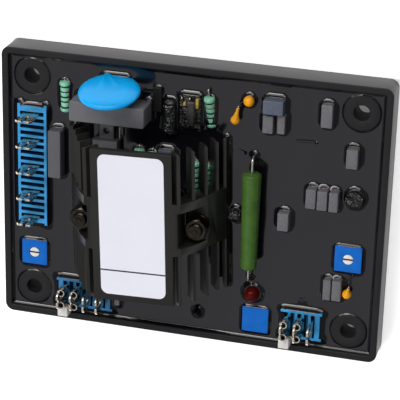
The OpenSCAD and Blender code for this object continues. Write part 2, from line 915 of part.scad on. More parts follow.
// Switching device lying on the board, its tab towards the box capacitor
module device_outline() {
    square([device_tab_size[0], device_tab_size[1]], center = true);
    translate([0, -(device_tab_size[1] + device_size[1]) / 2]) {
        square([device_size[0], device_size[1]], center = true);
    }
}

module switching_device() color([0.45, 0.45, 0.46]) place(device_share) {
    translate([0, 0, board_z]) {
        linear_extrude(potting_z - board_z) device_outline();
    }
    translate([0, 0, potting_z]) linear_extrude(device_tab_size[2]) difference() {
        square([device_tab_size[0], device_tab_size[1]], center = true);
        circle(d = device_hole_d);
    }
    translate([0, -(device_tab_size[1] + device_size[1]) / 2, potting_z]) {
        linear_extrude(device_size[2]) square([device_size[0], device_size[1]], center = true);
    }
}

// Pulse transformer: a taped winding on a base that the potting holds
module pulse_transformer() color([0.2, 0.19, 0.17]) place(transformer_share) {
    translate([0, 0, board_z]) linear_extrude(potting_z + transformer_base[2] - board_z) {
        square([transformer_base[0], transformer_base[1]], center = true);
    }
    translate([0, 0, potting_z]) linear_extrude(transformer_core[2]) {
        round_rect(transformer_core[0], transformer_core[1], large_corner_r);
    }
}

module electrolytic_body() {
    half = electrolytic_len / 2;
    r = electrolytic_d / 2;
    place(electrolytic_share) translate([0, 0, potting_z + electrolytic_rise]) {
        rotate([90, 0, 0]) rotate_extrude() difference() {
            translate([0, -half]) square([r, electrolytic_len]);
            translate([r, half - groove_from_end]) circle(r = groove_r);
        }
    }
}

module electrolytic_capacitor() color([0.08, 0.08, 0.09]) electrolytic_body();

// Moulded diode beside the box capacitor, one lead bent out to its left
module moulded_diode() color([0.1, 0.1, 0.11]) {
    boxed(moulded_diode_share, moulded_diode_size, film_corner_r);
    out = moulded_diode_size[0] / 2 + moulded_lead_len;
    place(moulded_diode_share) translate([-out, moulded_lead_shift, potting_z]) {
        cylinder(h = moulded_diode_size[2] / 2, d = lead_d);
        translate([0, 0, moulded_diode_size[2] / 2]) {
            sphere(d = lead_d);
            rotate([0, 90, 0]) cylinder(h = out, d = lead_d);
        }
    }
}

module standing_diode() color([0.1, 0.1, 0.11]) place(diode_share) {
    translate([0, 0, board_z]) cylinder(h = potting_z + diode_rise - board_z, d = diode_d);
}

// Bare wire link: an arch over the potting
module wire_link() color([0.82, 0.82, 0.8]) place(wire_share) {
    for (side = [-1, 1]) {
        translate([0, side * wire_span / 2, potting_z]) {
            cylinder(h = wire_rise, d = lead_d);
            translate([0, 0, wire_rise]) sphere(d = lead_d);
        }
    }
    translate([0, wire_span / 2, potting_z + wire_rise]) rotate([90, 0, 0]) {
        cylinder(h = wire_span, d = lead_d);
    }
}

tray();
potting_resin();
circuit_board();
heatsink();
power_module();
heatsink_studs();
heatsink_washers();
heatsink_nuts();
blank_label();
terminal_strip_left();
terminal_strip_lower_left();
terminal_strip_lower_right();
blades_left();
blades_lower_left();
blades_lower_right();
link_lower_left();
link_sleeve_lower_left();
link_lower_right();
link_sleeve_lower_right();
trimmer_body_left();
trimmer_rotor_left();
trimmer_body_right();
trimmer_rotor_right();
sealed_trimmer();
disc_varistor();
box_capacitor();
tall_film_capacitor();
film_capacitor_1();
film_capacitor_2();
film_capacitor_3();
film_capacitor_4();
film_capacitor_5();
film_capacitor_6();
film_capacitor_7();
film_capacitor_8();
film_capacitor_9();
film_capacitor_10();
film_capacitor_11();
film_capacitor_12();
film_capacitor_13();
bead_capacitor_upper();
bead_capacitor_leaning();
bead_capacitor_lower();
resistor_upper_left();
resistor_upper_middle();
resistor_under_top_1();
resistor_under_top_2();
resistor_between_fins_1();
resistor_between_fins_2();
power_resistor();
power_resistor_leads();
indicator_lamp();
transistor_right();
transistor_middle();
switching_device();
pulse_transformer();
electrolytic_capacitor();
moulded_diode();
standing_diode();
wire_link();
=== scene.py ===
import math

import bmesh
import bpy
import numpy as np
from mathutils import Matrix, Vector


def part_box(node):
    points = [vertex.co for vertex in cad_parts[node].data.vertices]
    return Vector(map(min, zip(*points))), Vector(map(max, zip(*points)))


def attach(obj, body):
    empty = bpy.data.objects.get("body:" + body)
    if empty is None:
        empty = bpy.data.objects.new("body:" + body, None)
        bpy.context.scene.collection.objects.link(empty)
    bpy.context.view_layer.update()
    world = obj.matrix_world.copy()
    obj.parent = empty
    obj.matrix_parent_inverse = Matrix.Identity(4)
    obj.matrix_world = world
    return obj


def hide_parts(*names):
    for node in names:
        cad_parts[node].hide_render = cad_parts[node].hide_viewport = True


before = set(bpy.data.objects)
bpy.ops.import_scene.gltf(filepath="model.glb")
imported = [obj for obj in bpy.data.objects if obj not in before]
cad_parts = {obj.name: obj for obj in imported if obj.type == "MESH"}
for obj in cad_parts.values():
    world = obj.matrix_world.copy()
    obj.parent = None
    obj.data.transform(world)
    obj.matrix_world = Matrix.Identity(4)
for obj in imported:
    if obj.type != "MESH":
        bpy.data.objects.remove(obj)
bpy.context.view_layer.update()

# The room: white paper under the part, a lit sheet overhead, a softbox beyond the upper edge,
# a key lamp at the lower left and a small lamp for the glints. The long lens stands where the
# photographer's did, well above the part and a little beyond its upper right corner.
mm = 0.001

room_floor = bmesh.new()
bmesh.ops.create_grid(room_floor, x_segments=2, y_segments=2, size=3.0,
                      matrix=Matrix.Translation((0, 0, -0.1 * mm)))
floor_mesh = bpy.data.meshes.new("studio_floor")
room_floor.to_mesh(floor_mesh)
room_floor.free()
studio_floor = bpy.data.objects.new("studio_floor", floor_mesh)
bpy.context.scene.collection.objects.link(studio_floor)

paper = bpy.data.materials.new("floor_paper")
paper.use_nodes = True
paper_nodes, paper_links = paper.node_tree.nodes, paper.node_tree.links
paper_shader = paper_nodes["Principled BSDF"]
paper_shader.inputs["Base Color"].default_value = (0.93, 0.93, 0.93, 1.0)
paper_shader.inputs["Roughness"].default_value = 0.9
paper_glow = 0.53
# The share of the paper's glow kept under the part: a painted shadow on the floor there.
painted_shadow_glow = 0.22


def paper_maths(operation, *terms):
    """A maths node of the floor's paper, fed by sockets or plain numbers."""
    node = paper_nodes.new("ShaderNodeMath")
    node.operation = operation
    for socket, term in zip(node.inputs, terms):
        if isinstance(term, float):
            socket.default_value = term
        else:
            paper_links.new(term, socket)
    return node.outputs[0]


seen = paper_nodes.new("ShaderNodeLightPath").outputs
seen_or_mirrored = paper_maths("MAXIMUM", seen["Is Camera Ray"], seen["Is Glossy Ray"])
seen_most = paper_maths("MAXIMUM", seen_or_mirrored, seen["Is Transmission Ray"])
paper_place = paper_nodes.new("ShaderNodeTexCoord")
from_part = paper_nodes.new("ShaderNodeVectorMath")
from_part.operation = "ABSOLUTE"
paper_links.new(paper_place.outputs["Object"], from_part.inputs[0])
reach = paper_nodes.new("ShaderNodeSeparateXYZ")
paper_links.new(from_part.outputs["Vector"], reach.inputs["Vector"])
# Under the part's footprint the glow drops to that share, a painted shadow seen through the tray's holes.
beside_part = paper_maths("MAXIMUM", paper_maths("GREATER_THAN", reach.outputs["X"], 71 * mm),
                          paper_maths("GREATER_THAN", reach.outputs["Y"], 52.25 * mm))
glow = paper_maths("MULTIPLY", paper_maths("MULTIPLY", seen_most, paper_glow),
                   paper_maths("MAXIMUM", beside_part, painted_shadow_glow))
paper_links.new(glow, paper_shader.inputs["Emission Strength"])
paper_shader.inputs["Emission Color"].default_value = (1.0, 1.0, 1.0, 1.0)
floor_mesh.materials.append(paper)

world = bpy.data.worlds.new("studio_air")
world.use_nodes = True
world.node_tree.nodes["Background"].inputs["Color"].default_value = (0.96, 0.98, 1.0, 1.0)
world.node_tree.nodes["Background"].inputs["Strength"].default_value = 0.16
bpy.context.scene.world = world


def softbox(name, place, aim, width, height, watts, tint=(1.0, 1.0, 1.0)):
    """A rectangular area lamp at a place, turned to face a point."""
    lamp = bpy.data.lights.new(name, "AREA")
    lamp.shape = "RECTANGLE"
    lamp.size, lamp.size_y, lamp.energy, lamp.color = width, height, watts, tint
    stand = bpy.data.objects.new(name, lamp)
    stand.location = place
    stand.rotation_euler = (Vector(aim) - Vector(place)).to_track_quat("-Z", "Y").to_euler()
    bpy.context.scene.collection.objects.link(stand)
    return stand


softbox("overhead_sheet", (-0.35, -0.6, 1.6), (-0.35, -0.6, 0), 2.6, 2.4, 8.9, (0.96, 0.96, 1.0))
softbox("upper_softbox", (-0.3, 1.15, 0.95), (0, 0, 0), 2.1, 0.62, 12, (1.0, 0.92, 0.86))
softbox("upper_fill", (-0.1, 1.2, 0.9), (0, 0, 0), 1.2, 0.8, 3.2,
        (0.98, 0.99, 1.0)).visible_glossy = False
softbox("key_lamp", (-0.75, -0.85, 1.1), (0, 0, 0), 0.8, 0.8, 12,
        (1.0, 0.99, 0.98)).visible_glossy = False
softbox("glint_lamp", (-0.45, 1.0, 1.25), (0, 0, 0), 0.5, 0.25, 3.4)

camera_data = bpy.data.cameras.new("camera")
camera_data.sensor_width = 36
camera_data.lens = 162.44
camera = bpy.data.objects.new("camera", camera_data)
camera.location = (155.4 * mm, 251.6 * mm, 586.8 * mm)
camera.rotation_euler = (math.radians(-22.303), math.radians(15.343), math.radians(1.499))
bpy.context.scene.collection.objects.link(camera)
bpy.context.scene.camera = camera
bpy.context.scene.view_settings.view_transform = "Standard"

# Tray: one injection moulding in black plastic, with a raised rim and four bosses that take
# the mounting screws. Its edges are broken, its faces have a fine spark texture, and its
# outer walls show the drag marks of the mould. Their lighter grey is painted light.
tray_edge = 0.45 * mm
foot_edge = 0.3 * mm
boss_edge = 0.35 * mm
boss_top = 9.5 * mm
wall_band = 1 * mm


def shade(red, green, blue):
    """A colour as it is seen on a screen, 0 to 255, turned into the shader's values."""
    return tuple(((c / 255 + 0.055) / 1.055) ** 2.4 if c > 10 else c / 3294 for c in (red, green, blue))


def finish(name, colour, rough, vary=0.12, patch=120.0, grain=2600.0, bump=0.15, depth=0.02,
           metal=0.0, coat=0.0, ior=1.5):
    """A material: its colour drifts in soft patches, its roughness with them, over a fine bump."""
    made = bpy.data.materials.new(name)
    made.use_nodes = True
    nodes, links = made.node_tree.nodes, made.node_tree.links
    shader = nodes["Principled BSDF"]
    shader.inputs["Metallic"].default_value = metal
    shader.inputs["IOR"].default_value = ior
    shader.inputs["Coat Weight"].default_value = coat
    shader.inputs["Coat Roughness"].default_value = 0.06
    where = nodes.new("ShaderNodeTexCoord")
    patches = nodes.new("ShaderNodeTexNoise")
    patches.inputs["Scale"].default_value = patch
    patches.inputs["Detail"].default_value = 6.0
    links.new(where.outputs["Object"], patches.inputs["Vector"])
    drift = nodes.new("ShaderNodeValToRGB")
    drift.color_ramp.elements[0].position = 0.3
    drift.color_ramp.elements[1].position = 0.7
    drift.color_ramp.elements[0].color = (*(c * (1 - vary) for c in colour), 1)
    drift.color_ramp.elements[1].color = (*(min(1, c * (1 + vary)) for c in colour), 1)
    links.new(patches.outputs["Fac"], drift.inputs["Fac"])
    links.new(drift.outputs["Color"], shader.inputs["Base Color"])
    gloss = nodes.new("ShaderNodeMapRange")
    gloss.inputs["To Min"].default_value = rough * 0.8
    gloss.inputs["To Max"].default_value = min(1.0, rough * 1.25)
    links.new(patches.outputs["Fac"], gloss.inputs["Value"])
    links.new(gloss.outputs["Result"], shader.inputs["Roughness"])
    grains = nodes.new("ShaderNodeTexNoise")
    grains.inputs["Scale"].default_value = grain
    grains.inputs["Detail"].default_value = 3.0
    links.new(where.outputs["Object"], grains.inputs["Vector"])
    relief = nodes.new("ShaderNodeBump")
    relief.inputs["Strength"].default_value = bump
    relief.inputs["Distance"].default_value = depth * mm
    links.new(grains.outputs["Fac"], relief.inputs["Height"])
    links.new(relief.outputs["Normal"], shader.inputs["Normal"])
    return made


def copy_of(name):
    """A copy of a solid from the frame, as a bmesh with whole faces in place of loose triangles."""
    shell = bmesh.new()
    shell.from_mesh(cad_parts[name].data)
    bmesh.ops.remove_doubles(shell, verts=shell.verts, dist=0.0005 * mm)
    bmesh.ops.dissolve_limit(shell, angle_limit=math.radians(0.6), verts=shell.verts, edges=shell.edges)
    return shell


def sharp_edges(shell, angle=40):
    """The edges of a bmesh where two faces meet at more than an angle."""
    return [e for e in shell.edges
            if len(e.link_faces) == 2 and e.calc_face_angle(0) > math.radians(angle)]


def break_edges(shell, edges, width, steps=2):
    """Rounds some edges of a bmesh."""
    bmesh.ops.bevel(shell, geom=edges, offset=width, offset_type="OFFSET", segments=steps,
                    profile=0.5, affect="EDGES", clamp_overlap=True, material=-1)


def piece(name, shell, body, materials, replaces=(), smooth=38):
    """Turns a bmesh into a finished piece that rides on a body."""
    mesh = bpy.data.meshes.new(name)
    shell.to_mesh(mesh)
    shell.free()
    for material in materials:
        mesh.materials.append(material)
    mesh.shade_smooth()
    mesh.set_sharp_from_angle(angle=math.radians(smooth))
    made = bpy.data.objects.new(name, mesh)
    bpy.context.scene.collection.objects.link(made)
    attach(made, body)
    if replaces:
        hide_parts(*replaces)
    return made


tray = copy_of("tray")
tray_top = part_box("tray")[1].z
rim_edges = [e for e in sharp_edges(tray) if all(v.co.z > tray_top - 0.1 * mm for v in e.verts)]
break_edges(tray, rim_edges, tray_edge, 3)
foot_edges = [e for e in sharp_edges(tray) if all(v.co.z < 0.1 * mm for v in e.verts)]
break_edges(tray, foot_edges, foot_edge, 2)
boss_edges = [e for e in sharp_edges(tray) if all(abs(v.co.z - boss_top) < 0.1 * mm for v in e.verts)]
break_edges(tray, boss_edges, boss_edge, 2)
tray_black = finish("tray_black", shade(28, 28, 30), 0.5, vary=0.15, grain=1350, bump=0.25, depth=0.04,
                    ior=1.38)
# The outer walls' finish: real drag-mark streaks, in a lighter grey that is painted light.
tray_drawn_painted_light = finish("tray_drawn_painted_light", shade(50, 50, 54), 0.42, vary=0.3, patch=260, grain=700, bump=0.3,
                    depth=0.05, ior=1.45)
for link in list(tray_drawn_painted_light.node_tree.links):
    if link.from_socket.name == "Object":
        drawn = tray_drawn_painted_light.node_tree.nodes.new("ShaderNodeMapping")
        drawn.inputs["Scale"].default_value = (0.08, 0.08, 1.0)
        tray_drawn_painted_light.node_tree.links.new(link.from_socket, drawn.inputs["Vector"])
        tray_drawn_painted_light.node_tree.links.new(drawn.outputs["Vector"], link.to_socket)
low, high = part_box("tray")
tray_half = (high - low) / 2
# The faces of the outer walls take that lighter grey, painted light.
for face in tray.faces:
    spot = face.calc_center_median() - (low + high) / 2
    outer = abs(spot.x) > tray_half.x - wall_band or abs(spot.y) > tray_half.y - wall_band
    if outer and abs(face.normal.z) < 0.5:
        face.material_index = 1
piece("tray_moulding", tray, "regulator", [tray_black, tray_drawn_painted_light], ["tray"])

# Circuit board: glass-epoxy laminate on two low pads in the tray. The resin hides it,
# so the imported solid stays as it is.
board_green = finish("board_green", shade(52, 105, 60), 0.4, vary=0.2, patch=400, grain=1500)
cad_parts["circuit_board"].material_slots[0].material = board_green

# Power module: a black transfer moulding on the board, under the heatsink's solid
# middle and out of sight.
module_black = finish("module_black", shade(38, 38, 40), 0.45, grain=3000, bump=0.3)
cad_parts["power_module"].material_slots[0].material = module_black

# Potting resin: poured black and glossy, it creeps up every part and up the tray's wall
# in a hollow fillet, and each fillet catches the light of the upper softbox.
resin_cell = 0.93 * mm
resin_foot = 5.2 * mm
slot_sink = 2.6 * mm
wall_creep, wall_fade = 1.1 * mm, 0.9 * mm
swell_height = 0.03 * mm
blend_power = 2.4
resin_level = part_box("power_module")[1].z
wall_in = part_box("potting_resin")
hood_centre = Vector((-14.484 * mm, -1.724 * mm))
hood_turn = math.radians(2)


def box_foot(name, height=1.9):
    """Centre, half sizes, turn, radius and creep of a straight-sided part's foot in the resin."""
    low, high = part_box(name)
    middle, half = (low + high) / 2, (high - low) / 2
    return (middle.x, middle.y, half.x, half.y, 0.0, 0.0, height)


def round_foot(x, y, radius, height=1.6):
    """The same for a round part."""
    return (x, y, 0.0, 0.0, 0.0, radius, height)


resin = bmesh.new()
resin_width = wall_in[1].x - wall_in[0].x
resin_length = wall_in[1].y - wall_in[0].y
bmesh.ops.create_grid(resin, size=0.5, matrix=Matrix.Diagonal((resin_width, resin_length, 1, 1)),
                      x_segments=round(resin_width / resin_cell),
                      y_segments=round(resin_length / resin_cell))
feet = [box_foot(name) for name in ["box_capacitor", "tall_film_capacitor", "pulse_transformer"]]
strip_insides = []
strip_wall, notch_cut, rail = 1.3 * mm, 0.8 * mm, 0.5 * mm
for name in ["terminal_strip_left", "terminal_strip_lower_left", "terminal_strip_lower_right"]:
    x, y, half_x, half_y, turn, r, height = box_foot(name)
    if name == "terminal_strip_left":
        feet.append((x, y, half_x, half_y - notch_cut, turn, r, height))
        feet += [(x + side * (half_x - rail), y, rail, half_y, turn, r, height) for side in (-1, 1)]
    else:
        feet.append((x, y, half_x - notch_cut, half_y, turn, r, height))
        feet += [(x, y + side * (half_y - rail), half_x, rail, turn, r, height) for side in (-1, 1)]
    strip_insides.append((x, y, half_x - strip_wall, half_y - strip_wall))
feet += [box_foot(name, 1.3) for name in ["trimmer_body_left", "trimmer_body_right", "sealed_trimmer"]]
feet += [box_foot("film_capacitor_%d" % i, 1.7) for i in range(1, 14)]
for name in ["resistor_upper_left", "resistor_upper_middle", "resistor_under_top_1",
             "resistor_under_top_2", "resistor_between_fins_1", "resistor_between_fins_2"]:
    x, y, half_x, half_y, turn, r, height = box_foot(name, 1.2)
    feet.append((x, y, half_x * 0.85, half_y - 1.5 * mm, turn, r, height))
x, y, half_x, half_y, turn, r, height = box_foot("electrolytic_capacitor", 1.4)
feet.append((x, y, half_x * 0.9, half_y - 0.3 * mm, turn, r, height))
# The moulded diode's block, and the lower edge of the disc.
feet.append((-12.57 * mm, 38.77 * mm, 1.6 * mm, 4.3 * mm, 0.0, 0.0, 0.6))
feet.append((-28.19 * mm, 44.3 * mm, 4.9 * mm, 1.2 * mm, 0.0, 0.0, 1.6))
for name in ["indicator_lamp", "transistor_right", "transistor_middle", "standing_diode"]:
    low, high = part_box(name)
    feet.append(round_foot((low.x + high.x) / 2, (low.y + high.y) / 2, (high.x - low.x) / 2))
low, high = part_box("bead_capacitor_upper")
feet.append(round_foot((low.x + high.x) / 2, (low.y + high.y) / 2, 1.7 * mm, 1.5))
boss_radius = 6.5 * mm
bosses = [(x * 60 * mm, y * 41.75 * mm) for x in (-1, 1) for y in (-1, 1)]
feet += [round_foot(x, y, boss_radius, 0.7) for x, y in bosses]
# The heatsink's two long feet, and its solid middle.
for side in (-1, 1):
    spot = hood_centre + Matrix.Rotation(hood_turn, 2) @ Vector((side * 28.3 * mm, 0))
    feet.append((spot.x, spot.y, 0.65 * mm, 28.4 * mm, hood_turn, 0.0, 1.4))
feet.append((hood_centre.x, hood_centre.y - 1.1 * mm, 11 * mm, 7 * mm, hood_turn, 0.0, 1.2))
power_low, power_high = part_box("power_resistor")
power_x = (power_low.x + power_high.x) / 2
lead_reach = 5.2 * mm
for lead_y in (power_low.y - lead_reach, power_high.y + lead_reach):
    feet.append(round_foot(power_x, lead_y, 0.5 * mm, 1.5))
# Small marks in the poured surface, in mm: from, to, width, and height or depth.
pour_marks = [(37.6, 28.6, 43.8, 29.0, 0.55, -0.3), (44.4, 28.9, 44.9, 28.9, 0.4, 0.42),
              (41.6, -32.3, 44.0, -32.2, 0.8, -0.36), (16.7, 22.4, 18.6, 21.8, 0.9, -0.3)]


def resin_rise(places):
    """How far the resin stands above its level at some places, and how near a foot each lies."""
    creep, nearest = np.zeros(len(places)), np.full(len(places), 1.0)
    for x, y, half_x, half_y, turn, radius, height in feet:
        away = places - np.array([x, y])
        c, s = math.cos(-turn), math.sin(-turn)
        along = np.abs(np.stack([away[:, 0] * c - away[:, 1] * s, away[:, 0] * s + away[:, 1] * c], 1))
        corner = 0.85 * min(half_x, half_y, 1.7 * mm)
        beyond = along - np.array([half_x - corner, half_y - corner])
        outside = np.maximum(beyond, 0)
        distance = np.hypot(outside[:, 0], outside[:, 1]) + np.minimum(beyond.max(1), 0) - corner - radius
        creep += (height * mm * np.exp(-np.maximum(distance, 0) / (0.71 * height * mm))) ** blend_power
        nearest = np.minimum(nearest, np.where(distance > -0.3 * mm, np.abs(distance), 1.0))
    creep = creep ** (1 / blend_power)
    x, y = places[:, 0], places[:, 1]
    to_wall = np.minimum(resin_width / 2 - np.abs(x), resin_length / 2 - np.abs(y))
    creep = np.maximum(creep, wall_creep * np.exp(-to_wall / wall_fade))
    for x0, y0, x1, y1, width, height in pour_marks:
        start, line = np.array([x0, y0]) * mm, np.array([x1 - x0, y1 - y0]) * mm
        share = np.clip((places - start) @ line / (line @ line), 0, 1)
        off = np.linalg.norm(places - start - share[:, None] * line, axis=1)
        creep = creep + height * mm * np.exp(-(off / (width * mm)) ** 2)
        nearest = np.minimum(nearest, off)
    swell = swell_height * (np.sin(x * 190) * np.cos(y * 230) + np.sin(x * 77 + y * 140))
    return creep + swell, np.minimum(nearest, to_wall)


for near in (1.8 * mm, 1.1 * mm):
    close = resin_rise(np.array([v.co[:2] for v in resin.verts]))[1] < near
    close_verts = {v for v, is_close in zip(resin.verts, close) if is_close}
    close_edges = {e for f in resin.faces if any(v in close_verts for v in f.verts) for e in f.edges}
    bmesh.ops.subdivide_edges(resin, edges=list(close_edges), cuts=1, use_grid_fill=True)
for vert, rise in zip(resin.verts, resin_rise(np.array([v.co[:2] for v in resin.verts]))[0]):
    inside = any(abs(vert.co.x - x) < half_x and abs(vert.co.y - y) < half_y
                 for x, y, half_x, half_y in strip_insides)
    vert.co.z = resin_level + (-slot_sink if inside else rise)
bore_radius = boss_radius - 0.4 * mm
in_bore = [v for v in resin.verts
           if any(math.hypot(v.co.x - x, v.co.y - y) < bore_radius for x, y in bosses)]
bmesh.ops.delete(resin, geom=in_bore, context="VERTS")
rims = [e for e in resin.edges if len(e.link_faces) == 1]
skirt = bmesh.ops.extrude_edge_only(resin, edges=rims)["geom"]
for vert in [g for g in skirt if isinstance(g, bmesh.types.BMVert)]:
    vert.co.z = resin_foot
bmesh.ops.triangle_fill(resin, use_beauty=True, use_dissolve=False,
                        edges=[g for g in skirt if isinstance(g, bmesh.types.BMEdge)])
bmesh.ops.recalc_face_normals(resin, faces=resin.faces)
resin_black = finish("resin_black", shade(14, 13, 18), 0.1, vary=0.1, patch=60, grain=90, bump=0.05,
                     depth=0.5, ior=1.59)
piece("poured_resin", resin, "regulator", [resin_black], ["potting_resin"], smooth=70)

# Terminal strips: blue glass-filled mouldings with a slot for each blade, cemented to the
# board. Their edges are slightly rounded, and the slots' inner walls are glossy from the resin
# that wetted them and darker from painted shade.
strip_blue = finish("strip_blue", shade(44, 150, 214), 0.3, vary=0.1, patch=300, grain=2400, bump=0.12)
# A darker copy of the strip blue for the lower-left strip: painted shade.
strip_blue_painted_shade = finish("strip_blue_painted_shade", shade(28, 108, 158), 0.3, vary=0.12, patch=300, grain=2400, bump=0.12)
# The slots' inner walls: resin gloss, and a darker blue that is painted shade.
wetted_and_shaded_blue = finish("wetted_and_shaded_blue", shade(12, 58, 94), 0.14, vary=0.35, patch=400, grain=500, bump=0.7,
                     depth=0.5)
for name in ["terminal_strip_left", "terminal_strip_lower_left", "terminal_strip_lower_right"]:
    strip = copy_of(name)
    low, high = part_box(name)
    along = 1 if name == "terminal_strip_left" else 0
    middle, half = (low + high) / 2, (high - low) / 2
    for vert in strip.verts:
        off = vert.co - middle
        in_notch = half[along] - 1.9 * mm < abs(off[along]) < half[along] - 1.2 * mm
        if in_notch and abs(off[1 - along]) < half[1 - along] - 0.5 * mm:
            vert.co[along] += math.copysign(notch_cut, off[along])
    break_edges(strip, sharp_edges(strip), 0.14 * mm, 2)
    strip.normal_update()
    # Faces inside the slots take the glossy, darker blue: resin film and painted shade.
    for face in strip.faces:
        spot = face.calc_center_median() - middle
        if abs(face.normal[along]) > 0.7 and all(abs(spot[i]) < half[i] - strip_wall for i in (0, 1)):
            face.material_index = 1
    # The lower-left strip takes the darker copy, painted shade.
    moulding = strip_blue_painted_shade if name == "terminal_strip_lower_left" else strip_blue
    piece(name.replace("terminal_strip", "slotted_strip"), strip, "regulator",
          [moulding, wetted_and_shaded_blue], [name])

# Blade terminals: tin-plated brass strip, folded double and forked at the tip by the
# press, so their edges are slightly rolled over.
tin_plate = finish("tin_plate", shade(214, 208, 196), 0.2, vary=0.14, patch=500, grain=1800, bump=0.12,
                   metal=1.0)


def rounded_copy(name, width, steps=2, angle=40):
    """A copy of a solid with all its sharp edges rounded."""
    shell = copy_of(name)
    break_edges(shell, sharp_edges(shell, angle), width, steps)
    return shell


for name in ["blades_left", "blades_lower_left", "blades_lower_right"]:
    blades = rounded_copy(name, 0.14 * mm, 3)
    piece("forked_" + name, blades, "regulator", [tin_plate], [name])

# Push-on links: two tinned receptacles with curled edges on one bridge, pushed over the
# first two blades of each short strip, with a white sleeve over the bridge.
sleeve_white = finish("sleeve_white", shade(218, 215, 211), 0.42, vary=0.04, grain=1500, bump=0.15)
for side in ["lower_left", "lower_right"]:
    link = rounded_copy("link_" + side, 0.06 * mm, angle=60)
    piece("push_on_link_" + side, link, "regulator", [tin_plate], ["link_" + side])
    sleeve = rounded_copy("link_sleeve_" + side, 0.3 * mm, 3)
    piece("bridge_sleeve_" + side, sleeve, "regulator", [sleeve_white],
          ["link_sleeve_" + side])

# Trimmers: square blue mouldings potted nearly to their tops. Two have a slotted off-white
# rotor that a screwdriver turns, and the third is sealed.
trimmer_blue = finish("trimmer_blue", shade(20, 100, 190), 0.4, vary=0.08, patch=300, grain=2600,
                      bump=0.2, ior=1.22)
rotor_white = finish("rotor_white", shade(222, 222, 222), 0.45, vary=0.08, patch=900, grain=2600,
                     bump=0.2)
slot_tan = finish("slot_tan", shade(196, 174, 142), 0.5, vary=0.2, patch=900, grain=2600, bump=0.2)
slot_depth = 0.24 * mm
slot_reach = 1.6 * mm
skin = 0.01 * mm


def paint(shell, index, test=lambda centre: True):
    """Gives the faces whose middle passes a test one of the piece's materials."""
    for face in shell.faces:
        if test(face.calc_center_median()):
            face.material_index = index
    return shell


for name in ["trimmer_body_left", "trimmer_body_right", "sealed_trimmer"]:
    body = rounded_copy(name, 0.25 * mm)
    piece(name + "_case", body, "regulator", [trimmer_blue], [name])
for side in ["left", "right"]:
    rotor = copy_of("trimmer_rotor_" + side)
    low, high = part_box("trimmer_rotor_" + side)
    rotor_top, axis_x, axis_y = high.z, (low.x + high.x) / 2, (low.y + high.y) / 2
    for vert in rotor.verts:
        if 0.4 * mm < rotor_top - vert.co.z < 0.6 * mm:
            vert.co.z = rotor_top - slot_depth
    top_edges = [e for e in sharp_edges(rotor) if all(v.co.z > rotor_top - skin for v in e.verts)]
    break_edges(rotor, top_edges, 0.08 * mm, 2)
    paint(rotor, 1, lambda c: rotor_top - slot_depth - 2 * skin < c.z < rotor_top - skin
          and math.hypot(c.x - axis_x, c.y - axis_y) < slot_reach)
    piece("slotted_rotor_" + side, rotor, "rotor_" + side, [rotor_white, slot_tan],
          ["trimmer_rotor_" + side])

# Film capacitors: small grey moulded boxes, two of them in bluish slate, and two large
# ones in dark cases. Each stands in the resin on its own leads.
film_grey = finish("film_grey", shade(98, 98, 102), 0.5, vary=0.16, patch=1100, grain=2600, bump=0.3)
film_slate = finish("film_slate", shade(80, 88, 104), 0.45, vary=0.1, patch=900, grain=2600, bump=0.25)
case_grey = finish("case_grey", shade(84, 84, 89), 0.5, vary=0.08, patch=300, grain=2200, bump=0.3)
case_dark = finish("case_dark", shade(97, 97, 102), 0.5, vary=0.08, patch=300, grain=2200, bump=0.3)
for i in range(1, 14):
    name = "film_capacitor_%d" % i
    body = rounded_copy(name, 0.25 * mm)
    case = film_slate if i in (1, 13) else film_grey
    piece(name + "_case", body, "regulator", [case], [name])
for name, case in [("box_capacitor", case_dark), ("tall_film_capacitor", case_grey)]:
    body = rounded_copy(name, 0.35 * mm, 3)
    piece(name + "_case", body, "regulator", [case], [name])

# Disc varistor: a pressed zinc oxide disc between two leads, dipped in bright blue epoxy.
# The coat is thickest in the middle, stands up over both leads and runs to a peak there.
disc_radius = 11 * mm
disc_half = 1.8 * mm
disc_centre = Vector((-28.19 * mm, 42.01 * mm, 17.9 * mm))
disc_lean = math.radians(76)
ridge_end = (3.1 * mm, 0.8 * mm)
ridge_height, ridge_width = 0.55 * mm, 0.7 * mm
peak_height, peak_width = 0.9 * mm, 1.5 * mm


def turned(profile, steps=48):
    """A closed body of revolution about Z from a list of radius and height pairs."""
    shell = bmesh.new()
    points = [shell.verts.new((radius, 0, height)) for radius, height in profile]
    lines = [shell.edges.new(pair) for pair in zip(points, points[1:])]
    bmesh.ops.spin(shell, geom=points + lines, cent=(0, 0, 0), axis=(0, 0, 1), angle=math.tau,
                   steps=steps, use_merge=True)
    bmesh.ops.remove_doubles(shell, verts=shell.verts, dist=0.002 * mm)
    bmesh.ops.recalc_face_normals(shell, faces=shell.faces)
    return shell


def placed(shell, *moves):
    """Moves a whole bmesh by some matrices, the last of them first."""
    matrix = Matrix.Identity(4)
    for move in moves:
        matrix = matrix @ move
    bmesh.ops.transform(shell, matrix=matrix, verts=shell.verts)


